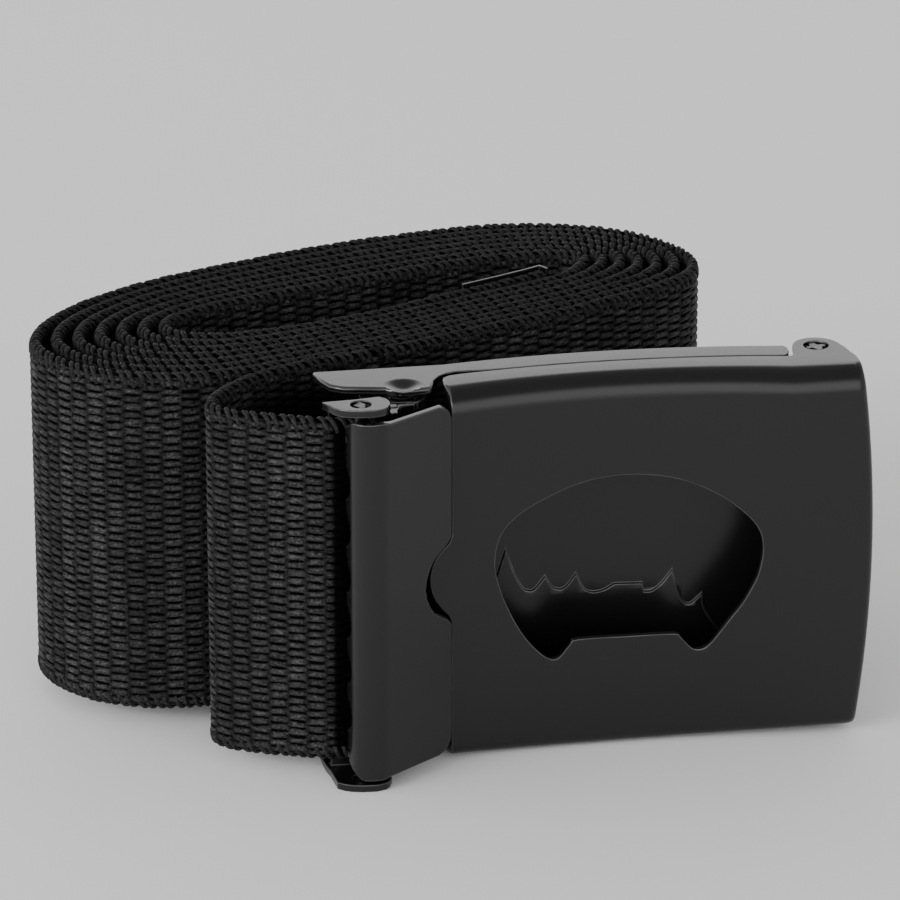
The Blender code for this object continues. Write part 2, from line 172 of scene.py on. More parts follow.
def yarn(line, radius, around):
    """Round yarn along a line of points (n, 3): its vertices and quads."""
    ahead = np.gradient(line, axis=0)
    ahead /= np.linalg.norm(ahead, axis=1)[:, None]
    a = np.cross(ahead, (0.3, 0.2, 0.93))
    a /= np.linalg.norm(a, axis=1)[:, None]
    b = np.cross(ahead, a)
    turn = np.arange(around) * 2 * pi / around
    ring = np.cos(turn)[None, :, None] * a[:, None, :] + np.sin(turn)[None, :, None] * b[:, None, :]
    ring = ring * radius
    verts = (line[:, None, :] + ring).reshape(-1, 3)
    i, j = np.meshgrid(np.arange(len(line) - 1), np.arange(around), indexing="ij")
    i, j = i.ravel(), j.ravel()
    k = (j + 1) % around
    quads = np.stack([i * around + j, i * around + k, (i + 1) * around + k, (i + 1) * around + j], 1)
    ends = [list(range(around))[::-1], [(len(line) - 1) * around + q for q in range(around)]]
    return verts, quads, ends


STRAND_GAP, STRAY = 0.21, 0.08         # loop spacing within a pick and its play, in picks
LOOP_PLAY = (0.95, 0.12)               # least height of a loop and its play, as shares of LOOP_REACH
LOOP_DROP, LOOP_SINK, LOOP_BELLY = 0.9, 0.06, 0.12   # how far its ends go down, into the face, and out


def selvedge(s0, s1):
    """The weft turning back over both edges: two slanted yarns a pick, from one face to the other."""
    verts, quads, ends, count = [], [], [], 0
    swing = np.linspace(-1.0, 1.0, 9)
    crown = np.cos(swing * pi / 2) ** 0.7
    side = np.sin(swing * pi / 2) * (HALF - LOOP_SINK + LOOP_BELLY * (1 - np.abs(swing)))
    for k in range(int(round(s0 / PICK)), int(round(s1 / PICK))):
        chance = JITTER[k % len(JITTER)]
        for strand in (-1, 1):
            for edge in (0, 1):
                middle = (k + 0.5 + STRAND_GAP * strand + STRAY * (chance[0] - 0.5)) * PICK
                s = middle + LOOP_SLANT * swing * (1 - 2 * edge)
                s = np.clip(s, max(s0, 0.1), min(s1, path.total - 0.1))
                reach = LOOP_REACH * (LOOP_PLAY[0] + LOOP_PLAY[1] * chance[1 + edge])
                v = (reach - LOOP_R) * crown - LOOP_DROP * (1 - crown)
                centre, left = path.at(s)
                flat = centre + left * side[:, None]
                up = WEB_W - SELVEDGE + v if edge else SELVEDGE - v
                made, faces, caps = yarn(np.column_stack([flat, up + WEB_Z0]), LOOP_R, 6)
                verts.append(made)
                quads.append(faces + count)
                ends += [[q + count for q in cap] for cap in caps]
                count += len(made)
    return np.vstack(verts), np.vstack(quads), ends


def columns(step):
    """Heights across the strap that meet every gap between warp ends; fewer where step is None."""
    if step is None:
        return np.linspace(SELVEDGE, WEB_W - SELVEDGE, 7)
    half = np.array(step) * ROW
    rows = np.arange(2 * ROWS) * ROW / 2
    v = (rows[:, None] + half[None, :]).ravel() + SELVEDGE
    return np.append(v, WEB_W - SELVEDGE)


FINE, COARSE, PLAIN = (0.0, 0.10, 0.40), (0.0, 0.25), None   # places across each half row of floats
STATIONS = np.array((0.0, 0.16, 0.36, 0.64, 0.84))           # places along each pick
RIM = 6                                                      # steps round the woven edge


ON_LOOP, ON_RIM = -1.0, -2.0           # values of "across" that mark the loops and the edge under them; that edge is painted in shade


def web_piece(name, s0, s1, outer, inner):
    """A stretch of the strap, cut at a pick, with fine or plain outer and inner faces."""
    picks = int(round((s1 - s0) / PICK))
    s0 = round(s0 / PICK) * PICK
    s1 = min(s0 + picks * PICK, path.total)
    s = (s0 + (np.arange(picks)[:, None] + STATIONS[None, :]) * PICK).ravel()
    s = np.append(s[s < s1 - 0.05], s1)
    ring = [(v, 1, outer is not PLAIN, 0.0) for v in columns(outer)]
    ring += [(WEB_W - SELVEDGE, 0, False, k / (RIM + 1)) for k in range(1, RIM + 1)]
    ring += [(v, -1, inner is not PLAIN, 0.0) for v in columns(inner)[::-1]]
    ring += [(SELVEDGE, 0, False, 1 + k / (RIM + 1)) for k in range(1, RIM + 1)]
    v, side, woven, turn = (np.array(c) for c in zip(*ring))
    S, V = np.meshgrid(s, v, indexing="ij")
    offset, up = np.zeros(S.shape), V.copy()
    near = np.clip((np.minimum(V, WEB_W - V) - SELVEDGE) / 0.5, 0, 1)
    for sign, flip in ((1, 0), (-1, 1)):
        here = (side == sign) & (woven > 0)
        offset[:, here] = sign * (HALF + weave(S[:, here], V[:, here] - SELVEDGE, flip) * near[:, here])
        offset[:, (side == sign) & (woven == 0)] = sign * (HALF - 0.05)
    rim = side == 0
    offset[:, rim] = HALF * np.cos(turn[rim] * pi)[None, :]
    up[:, rim] += (SELVEDGE - 0.2) * np.sin(turn[rim] * pi)[None, :]
    centre, left = path.at(s)
    x = centre[:, 0:1] + left[:, 0:1] * offset
    y = centre[:, 1:2] + left[:, 1:2] * offset
    verts = np.stack([x, y, up + WEB_Z0], -1).reshape(-1, 3)
    n, m = len(s) - 1, len(v)
    i, j = np.meshgrid(np.arange(n), np.arange(m), indexing="ij")
    i, j = i.ravel(), j.ravel()
    quads = np.stack([i * m + j, i * m + (j + 1) % m, (i + 1) * m + (j + 1) % m, (i + 1) * m + j], 1)
    loops, loop_quads, caps = selvedge(s0, s1)
    caps = [[q + len(verts) for q in cap] for cap in caps]
    faces = np.vstack([quads, loop_quads + len(verts)]).tolist()
    faces += [list(range(m))[::-1], list(range(n * m, n * m + m))] + caps
    mesh = bpy.data.meshes.new(name)
    mesh.from_pydata(world(np.vstack([verts, loops])).tolist(), [], faces)
    mesh.shade_smooth()
    none = np.full(len(loops), ON_LOOP)
    flips = np.repeat((side < 0).astype(float)[None, :], len(s), 0)
    across = np.where(rim[None, :], ON_RIM, V - SELVEDGE)
    for label, values in (("along", np.append(S.ravel(), none)),
                          ("across", np.append(across.ravel(), none)),
                          ("flip", np.append(flips.ravel(), none * 0))):
        mesh.attributes.new(label, "FLOAT", "POINT").data.foreach_set("value", values.astype(np.float32))
    obj = bpy.data.objects.new(name, mesh)
    bpy.context.scene.collection.objects.link(obj)
    mesh.materials.append(webbing)
    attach(obj, "belt")
    return obj


# ---------------------------------------------------------------- buckle
BUCKLE_H = 42.5                    # cover and base, over their flanges
MID_Z = BUCKLE_H / 2
SHEET = 0.85                       # sheet metal
COVER_L, SEAM = 45.7, 5.7          # cover length, depth where its flanges meet the base's
BEND = (1.2, 2.6)                  # outside radius of the cover's lower and upper long edge
BASE_BACK = 9.0                    # rear face of the base
BASE_L = 1.0                       # left end of the base's back plate
CLAMP_AXIS = (-4.9, 3.4)           # pressed-in dimples: base on clamp body
LEVER_PIN = (-10.6, -4.4)          # clamp lever axis
EAR_R = 2.6                        # round end of the hinge ears and lugs
SAG, SAG_BACK = 1.2, 0.5           # hollow of the buckle's front, and from the seam backwards
BARREL, TAPER = 0.38, 0.4          # bulge of the long edges, drop of the lower one at the lever's end
END_BULGE, END_FROM, END_OVER = 1.6, 43.0, 1.5   # bulge of the cover's right end; where it starts; over
HALF_FACE = 19.0                   # half length of the hollow front
FACE_ENDS = (0.5, 38.1)            # stretch of the buckle that is cut into facets so that it can bend
PLAY = 0.15                        # half the gap between cover and base at the seam


def solid(name, bm):
    """Close the working mesh into an object of the scene, faces outwards."""
    bmesh.ops.recalc_face_normals(bm, faces=bm.faces)
    mesh = bpy.data.meshes.new(name)
    bm.to_mesh(mesh)
    bm.free()
    obj = bpy.data.objects.new(name, mesh)
    bpy.context.scene.collection.objects.link(obj)
    return obj


def prism(name, outline, low, high, along="z"):
    """Closed outline (two coordinates each) pushed along one axis."""
    place = {"z": lambda a, b: (a, b, low), "y": lambda a, b: (a, low, b), "x": lambda a, b: (low, a, b)}
    bm = bmesh.new()
    start = bm.faces.new([bm.verts.new(place[along](a, b)) for a, b in outline])
    end = bmesh.ops.extrude_face_region(bm, geom=[start])["geom"]
    step = {"z": (0, 0, high - low), "y": (0, high - low, 0), "x": (high - low, 0, 0)}[along]
    bmesh.ops.translate(bm, vec=step, verts=[g for g in end if isinstance(g, bmesh.types.BMVert)])
    return solid(name, bm)


def box(name, x, y, z):
    """Box between two values on each axis."""
    return prism(name, [(x[0], y[0]), (x[1], y[0]), (x[1], y[1]), (x[0], y[1])], *z)


def arc(centre, radius, start, stop, steps=6):
    """Points of a circular arc; start and stop in degrees."""
    turns = [radians(start + (stop - start) * k / steps) for k in range(steps + 1)]
    return [(centre[0] + radius * cos(a), centre[1] + radius * sin(a)) for a in turns]


def circle(centre, radius, steps=32):
    return arc(centre, radius, 0, 360 - 360 / steps, steps - 1)


def rounded(points, steps=3):
    """Smooth closed curve through the points; a point given with a third value keeps its corner."""
    out = []
    n = len(points)
    for k in range(n):
        b, c = np.array(points[k][:2]), np.array(points[(k + 1) % n][:2])
        a = 2 * b - c if len(points[k]) > 2 else np.array(points[k - 1][:2])
        d = 2 * c - b if len(points[(k + 1) % n]) > 2 else np.array(points[(k + 2) % n][:2])
        for f in np.arange(steps) / steps:
            p = 0.5 * (2 * b + (c - a) * f + (2 * a - 5 * b + 4 * c - d) * f ** 2
                       + (3 * b - a - 3 * c + d) * f ** 3)
            out.append((float(p[0]), float(p[1])))
    return out


def mirrored(half):
    """A bump's outline from its upper half, given as (reach, height over its middle)."""
    return half + [(x, -z) for x, z in half[::-1] if z > 0]


def combine(target, tool, how):
    """Boolean of two objects, kept in the first; the tool is used up."""
    mod = target.modifiers.new(how, "BOOLEAN")
    mod.operation, mod.solver, mod.object = how, "EXACT", tool
    graph = bpy.context.evaluated_depsgraph_get()
    mesh = bpy.data.meshes.new_from_object(target.evaluated_get(graph))
    target.modifiers.clear()
    target.data = mesh
    bpy.data.objects.remove(tool)
    return target


def both_sides(target, how, make):
    """Apply a tool at the top edge and its mirror image at the bottom edge."""
    for flip in (False, True):
        tool = make("tool")
        if flip:
            for v in tool.data.vertices:
                v.co.z = BUCKLE_H - v.co.z
            tool.data.flip_normals()
        combine(target, tool, how)


def skin(name, outline, z, radius, reach, steps=6):
    """Upright prism whose front long edges are rounded; the rounding ends at the depth reach."""
    front = min(y for _, y in outline)
    bm = bmesh.new()
    rings = []
    for end, way, r in ((z[0], 1, radius[0]), (z[1], -1, radius[1])):
        for k in range(steps + 1):
            t = pi / 2 * (k if way > 0 else steps - k) / steps
            rings.append([bm.verts.new((x, y + r * (1 - sin(t)) * max(0.0, (reach - y) / (reach - front)),
                                        end + way * r * (1 - cos(t)))) for x, y in outline])
    for here, there in zip(rings, rings[1:]):
        for k in range(len(outline)):
            bm.faces.new((here[k - 1], here[k], there[k], there[k - 1]))
    bm.faces.new(rings[0])
    bm.faces.new(rings[-1])
    return solid(name, bm)


def dent(centre, radius, depth, face, rings=10, sides=36):
    """Punch that presses a round dimple into the face at height z; it meets the face without an edge."""
    bm = bmesh.new()
    levels = []
    for k in range(1, rings + 1):
        r = radius * k / rings
        z = face - depth * (1 - (r / radius) ** 2) ** 2
        levels.append([bm.verts.new((centre[0] + r * cos(a), centre[1] + r * sin(a), z))
                       for a in np.linspace(0, 2 * pi, sides, endpoint=False)])
    lid = [bm.verts.new((v.co.x, v.co.y, face + 1.0)) for v in levels[-1]]
    for here, there in zip(levels, levels[1:] + [lid]):
        for k in range(sides):
            bm.faces.new((here[k - 1], here[k], there[k], there[k - 1]))
    bm.faces.new(levels[0])
    bm.faces.new(lid)
    return solid("tool", bm)


def break_edges(obj, radius, right=100.0, segments=2, angle=35):
    """The small round that deburring and paint leave on every cut edge, as far right as x = right."""
    bm = bmesh.new()
    bm.from_mesh(obj.data)
    bmesh.ops.remove_doubles(bm, verts=bm.verts, dist=0.03)
    bmesh.ops.dissolve_limit(bm, angle_limit=radians(0.6), verts=bm.verts, edges=bm.edges)
    sharp = [e for e in bm.edges if len(e.link_faces) == 2 and e.calc_face_angle(0) > radians(angle)
             and max(v.co.x for v in e.verts) < right]
    mark = bm.faces.layers.float.get("edge") or bm.faces.layers.float.new("edge")
    for face in bmesh.ops.bevel(bm, geom=sharp, offset=radius, segments=segments, profile=0.5,
                                affect="EDGES")["faces"]:
        face[mark] = 1.0
    bm.to_mesh(obj.data)
    bm.free()
    return obj


def hollow(x):
    """1 at the middle of the buckle, 0 at its ends and beyond."""
    q = np.clip((x - HALF_FACE) / HALF_FACE, -1.0, 1.0)
    return 1.0 - q * q


def bend(obj, across=1.5, up=2.5):
    """Give the flat buckle parts their hollow front and barrel-shaped long edges."""
    bm = bmesh.new()
    bm.from_mesh(obj.data)
    cuts = [((x, 0, 0), (1, 0, 0)) for x in np.arange(*FACE_ENDS, across)]
    cuts += [((0, 0, z), (0, 0, 1)) for z in np.arange(up, BUCKLE_H, up)]
    for place, normal in cuts:
        bmesh.ops.bisect_plane(bm, geom=bm.verts[:] + bm.edges[:] + bm.faces[:], dist=0.0001,
                               plane_co=place, plane_no=normal)
    for v in bm.verts:
        full, low = hollow(v.co.x), max(0.0, 1 - v.co.z / MID_Z)
        v.co.y += full * (SAG + (SAG_BACK - SAG) * np.clip(v.co.y / SEAM, 0, 1))
        v.co.z = MID_Z + (v.co.z - MID_Z) * (1 + BARREL * full / MID_Z)
        v.co.z -= TAPER * low * (1 - v.co.x / COVER_L)
        side = np.clip((v.co.x - END_FROM) / END_OVER, 0, 1)
        v.co.x += END_BULGE * side * (1 - ((v.co.z - MID_Z) / (MID_Z + 0.5)) ** 2)
    bm.to_mesh(obj.data)
    bm.free()


TOP_EAR = [(-14.6, -3.0), (-14.0, -4.1), (-13.55, -5.1), (-12.8, -5.8), (-12.0, -6.2), (-10.9, -6.45),
           (-9.4, -6.55), (-8.3, -6.2), (-7.8, -5.6), (-7.45, -4.7), (-7.43, -3.8), (-7.65, -3.0),
           (-8.3, -2.3), (-11.0, -2.75)]
LOW_EAR = TOP_EAR[2:11] + [(-7.2, 0.2), (-13.0, 0.4), (-13.3, 2.6), (-14.3, 2.8), (-14.26, 1.0),
                           (-14.13, -0.4), (-13.85, -1.9)]


def clamp_body():
    """U bracket: ears for the lever pin, back plate behind the webbing, lugs under the base's leaves."""
    body = box("body", (-13.6, -6.0), (-0.7, 0.2), (-0.6, BUCKLE_H - 0.9))
    combine(body, prism("ear", TOP_EAR, 42.65, 43.5), "UNION")
    combine(body, prism("ear", LOW_EAR, -1.0, -0.15), "UNION")
    combine(body, box("neck", (-12.6, -8.6), (-2.8, -2.4), (41.45, 42.8)), "UNION")
    combine(body, box("neck", (-12.6, -8.6), (-2.8, 0.2), (41.45, 42.05)), "UNION")
    lug = ([(-9.6, -0.9), (-7.2, -0.9), (-7.2, 1.5), (-4.9, 1.3)] + arc(CLAMP_AXIS, EAR_R, -60, 125, 10)
           + [(-9.5, 4.5)])
    both_sides(body, "UNION", lambda name: prism(name, lug, 40.4, 41.3))
    curl = arc((-4.4, -2.0), 2.65, 80, 188, 12) + arc((-4.4, -2.0), 1.85, 188, 80, 12)
    combine(body, prism("curl", curl, 1.0, 41.5), "UNION")
    combine(body, prism("bore", circle(CLAMP_AXIS, 1.55), -3, 46), "DIFFERENCE")
    return combine(body, prism("bore", circle(LEVER_PIN, 1.15), -3, 46), "DIFFERENCE")


GULLETS, GULLET_Z, GULLET_STEP, GULLET_R = 6, 7.5, 5.4, 2.1   # round cuts between the lever's teeth
LEVER_FRONT = [(-12.2, -3.6), (-12.15, -4.6), (-11.95, -5.5), (-11.6, -6.2), (-11.1, -6.7), (-10.5, -6.98),
               (-9.8, -7.08), (-9.1, -7.02), (-8.5, -6.85), (-7.8, -6.5), (-0.15, -0.95)]
LEVER_BACK = [(-0.65, -0.28), (-8.2, -5.8), (-9.1, -6.2), (-9.8, -6.28), (-10.6, -6.1), (-11.1, -5.6),
              (-11.35, -4.6), (-11.4, -3.6)]
NOTCH = mirrored([(0.6, 6.4), (-0.16, 5.1), (-0.72, 4.4), (-1.55, 3.8), (-2.35, 3.1), (-2.85, 2.2),
                  (-3.25, 1.1), (-3.4, 0.0)])
TAB = mirrored([(0.5, 6.0), (0.0, 5.0), (-0.35, 4.2), (-1.1, 3.4), (-1.8, 2.5), (-2.2, 1.5), (-2.4, 0.5),
                (-2.42, 0.0)])


def lever():
    """Cam lever: wing to the thumb notch, ridge, and the band with its toothed biting edge."""
    made = prism("lever", LEVER_FRONT + LEVER_BACK, 0.5, BUCKLE_H - 0.5)
    ear = [(-11.2, -6.2), (-8.9, -6.2)] + arc(LEVER_PIN, 1.65, 0, 180, 10)
    both_sides(made, "UNION", lambda name: prism(name, ear, 39.2, 40.1))
    combine(made, prism("bore", circle(LEVER_PIN, 1.0), -3, 46), "DIFFERENCE")
    low = [(-3.0, 3.0), (-3.6, 2.56), (-5.5, 1.4), (-6.3, 0.95), (-6.9, 0.4), (-6.9, -1.0), (-3.0, -1.0)]
    high = [(-3.0, 40.3), (-3.6, 40.6), (-5.5, 41.75), (-6.2, 42.05), (-6.2, 43.5), (-3.0, 43.5)]
    for corner in (low, high):
        combine(made, prism("corner", corner, -13.0, -10.9, "x"), "DIFFERENCE")
    for k in range(GULLETS):
        gullet = circle((-3.25, GULLET_Z + GULLET_STEP * k), GULLET_R, 24)
        combine(made, prism("gullet", gullet, -13.0, -11.2, "x"), "DIFFERENCE")
    tip = [(-8.6, 42.7), (-8.6, 42.03), (-7.6, 41.8), (-1.7, 41.7), (-1.1, 41.45), (-0.5, 40.8), (-0.2, 40.0),
           (-0.14, 39.1), (0.5, 39.1), (0.5, 42.7)]
    both_sides(made, "DIFFERENCE", lambda name: prism(name, tip, -8.0, 2.0, "y"))
    notch = [(x, z + 21.1) for x, z in NOTCH]
    return combine(made, prism("notch", notch, -6.0, 2.0, "y"), "DIFFERENCE")


OPENER = [(4.9, 21.9), (5.5, 25.2), (7.6, 27.5), (10.6, 29.1), (14.3, 30.5), (18.1, 31.1), (21.8, 31.0),
          (25.5, 30.3), (29.2, 28.7), (32.1, 26.7), (34.2, 24.4), (34.8, 22.0), (34.4, 19.2), (33.6, 17.3),
          (32.6, 15.5), (31.3, 13.8), (29.5, 11.4), (28.6, 10.6), (27.8, 10.4), (27.0, 10.7), (25.9, 11.9),
          (25.1, 12.4), (20.1, 12.45), (14.3, 12.5), (13.4, 12.0), (12.4, 10.8), (11.7, 10.4),
          (10.9, 10.6), (10.0, 11.3), (8.8, 12.6), (7.7, 14.2), (6.6, 16.3), (5.6, 18.8)]
PANEL = [(32.0, 3.0, 1), (4.2, 3.0, 1), (4.2, 13.0, 1), (6.0, 16.4), (7.4, 20.5, 1), (8.5, 17.4),
         (9.3, 16.0), (9.9, 15.6), (10.7, 15.7), (11.9, 17.1, 1), (12.6, 15.9), (13.5, 15.5),
         (14.3, 15.8), (15.4, 17.2, 1), (16.2, 15.5), (17.3, 14.9), (18.6, 15.1), (19.7, 15.7, 1),
         (22.9, 15.6, 1), (23.1, 14.6, 1), (24.0, 14.6), (25.1, 15.4), (26.3, 16.9, 1), (27.0, 14.1),
         (27.6, 13.1), (28.4, 12.8), (29.7, 13.9, 1), (30.0, 12.0), (32.0, 9.0, 1)]


def cover():
    """Flip-top cover: hollow front, flanges, hinge ears, thumb tab, biting heel, bottle-opener hole."""
    far = COVER_L
    end = arc((far - 1.0, 1.0), 1.0, -90, 0, 6)
    outline = [(0, 0)] + end + [(far, 2.9), (far - 0.1, 4.3), (far - 0.3, 5.7), (far - 0.6, 7.4)]
    outline += arc(COVER_PIN, EAR_R, 18, 180, 16) + [(39.2, 6.6), (38.9, SEAM - PLAY), (4.7, SEAM - PLAY)]
    outline += [(1.9, SEAM - PLAY), (0.55, 5.3), (-0.1, 4.5), (-0.35, 3.2), (-0.42, 1.8), (-0.3, 0.9)]
    made = skin("cover", outline, (0, BUCKLE_H), BEND, SEAM)
    inner = [(-3, SHEET), (far - 1.0, SHEET), (far - SHEET, 1.0), (far - SHEET, SEAM), (far - 1.2, 13),
             (-3, 13)]
    tray = skin("tray", inner, (SHEET, BUCKLE_H - SHEET), [r - SHEET for r in BEND], SEAM, 4)
    combine(made, tray, "DIFFERENCE")
    combine(made, prism("tab", [(x, z + 20.8) for x, z in TAB], 0, SHEET, "y"), "UNION")
    teeth = [(0.4, 2.4)] + [(6.4 if k % 2 else 5.6, 2.4 + 2.2 * k) for k in range(18)] + [(0.4, 39.8)]
    combine(made, prism("heel", teeth, 36.0, 36.9, "x"), "UNION")
    combine(made, prism("opener", rounded(OPENER), -1, 1.5, "y"), "DIFFERENCE")
    return combine(made, prism("bore", circle(COVER_PIN, 1.4), -1, 44), "DIFFERENCE")


DIMPLE, DIMPLE_R, DIMPLE_DEEP = (-4.8, 3.2), 2.3, 0.55
LEAF_ROUND, LEAF_END = 0.3, -1.5   # rounder edge of the leaves, as far right as this


def base():
    """Back plate, flanges ending in dimpled leaves, inner hinge ears, raised toothed panel."""
    seam = SEAM + PLAY
    made = box("base", (BASE_L, 38.7), (BASE_BACK - SHEET, BASE_BACK), (0.3, BUCKLE_H - 0.3))
    combine(made, box("end", (38.0, 40.6), (BASE_BACK - SHEET, BASE_BACK), (1.5, 41.0)), "UNION")
    leaf = [(38.5, BASE_BACK), (38.85, 8.3), (38.8, 7.2), (38.5, 6.3), (38.0, seam), (6.5, seam), (4.8, 5.95),
            (2.9, 6.25), (1.5, 6.45), (0.45, 6.3), (-0.5, 5.6), (-1.3, 4.35), (-1.65, 2.8), (-1.95, 2.1),
            (-3.5, 1.9), (-4.9, 1.7), (-5.9, 2.0), (-6.5, 2.6), (-6.9, 2.88), (-7.4, 2.9), (-9.4, 3.3),
            (-11.4, 3.75), (-12.7, 4.7), (-13.4, 6.4), (-14.0, BASE_BACK)]
    both_sides(made, "UNION",
               lambda name: break_edges(prism(name, leaf, BUCKLE_H - SHEET, BUCKLE_H), LEAF_ROUND, LEAF_END))
    ear = [(36.9, 6.7), (COVER_PIN[0], 6.1)] + arc(COVER_PIN, 2.3, -90, 90, 12) + [(39.0, 8.9), (36.9, 8.9)]
    both_sides(made, "UNION", lambda name: prism(name, ear, 40.4, 41.2))
    both_sides(made, "UNION", lambda name: prism(name, circle(CLAMP_AXIS, 1.65), 41.4, 42.0))
    both_sides(made, "UNION", lambda name: prism(name, circle(CLAMP_AXIS, 1.2), 40.6, 41.6))
    both_sides(made, "DIFFERENCE", lambda name: dent(DIMPLE, DIMPLE_R, DIMPLE_DEEP, BUCKLE_H))
    combine(made, prism("panel", rounded(PANEL), BASE_BACK - SHEET - 0.4, BASE_BACK - 0.3, "y"), "UNION")
    return combine(made, prism("bore", circle(COVER_PIN, 1.4), -1, 44), "DIFFERENCE")


# ---------------------------------------------------------------- materials
def nodes_of(name):
    """New material, its node tree and its shader."""
    mat = bpy.data.materials.new(name)
    mat.use_nodes = True
    tree = mat.node_tree
    return mat, tree, tree.nodes["Principled BSDF"]


def map_range(tree, value, source, target, smooth=True):
    """Carry a node's output from one range to another, with soft ends unless told otherwise."""
    node = tree.nodes.new("ShaderNodeMapRange")
    node.interpolation_type = "SMOOTHSTEP" if smooth else "LINEAR"
    tree.links.new(value, node.inputs["Value"])
    for socket, number in zip(("From Min", "From Max", "To Min", "To Max"), (*source, *target)):
        node.inputs[socket].default_value = number
    return node.outputs[0]


BLACK, BLACK_FLOAT, BLACK_STRIP = 0.010, 0.008, 0.009   # darkest yarn; spread by float and by column
YARN_ROUGH, YARN_SHINE, YARN_BUMP = 0.46, 0.04, (0.8, 0.00008)
SLIT_PLAY = (0.06, 0.16)                                # how much slits differ in width and length
UNEVEN = (0.45, 0.9, 0.0, 1.0)                          # noise of the slits' drift: pace, lean, detail
STREAKS = (1.5, 6.5, 1.75, 3.0)                         # the same for the fibres of a yarn
FUZZ = (3500.0, 2.0)                                    # scale and detail of the loose fibres


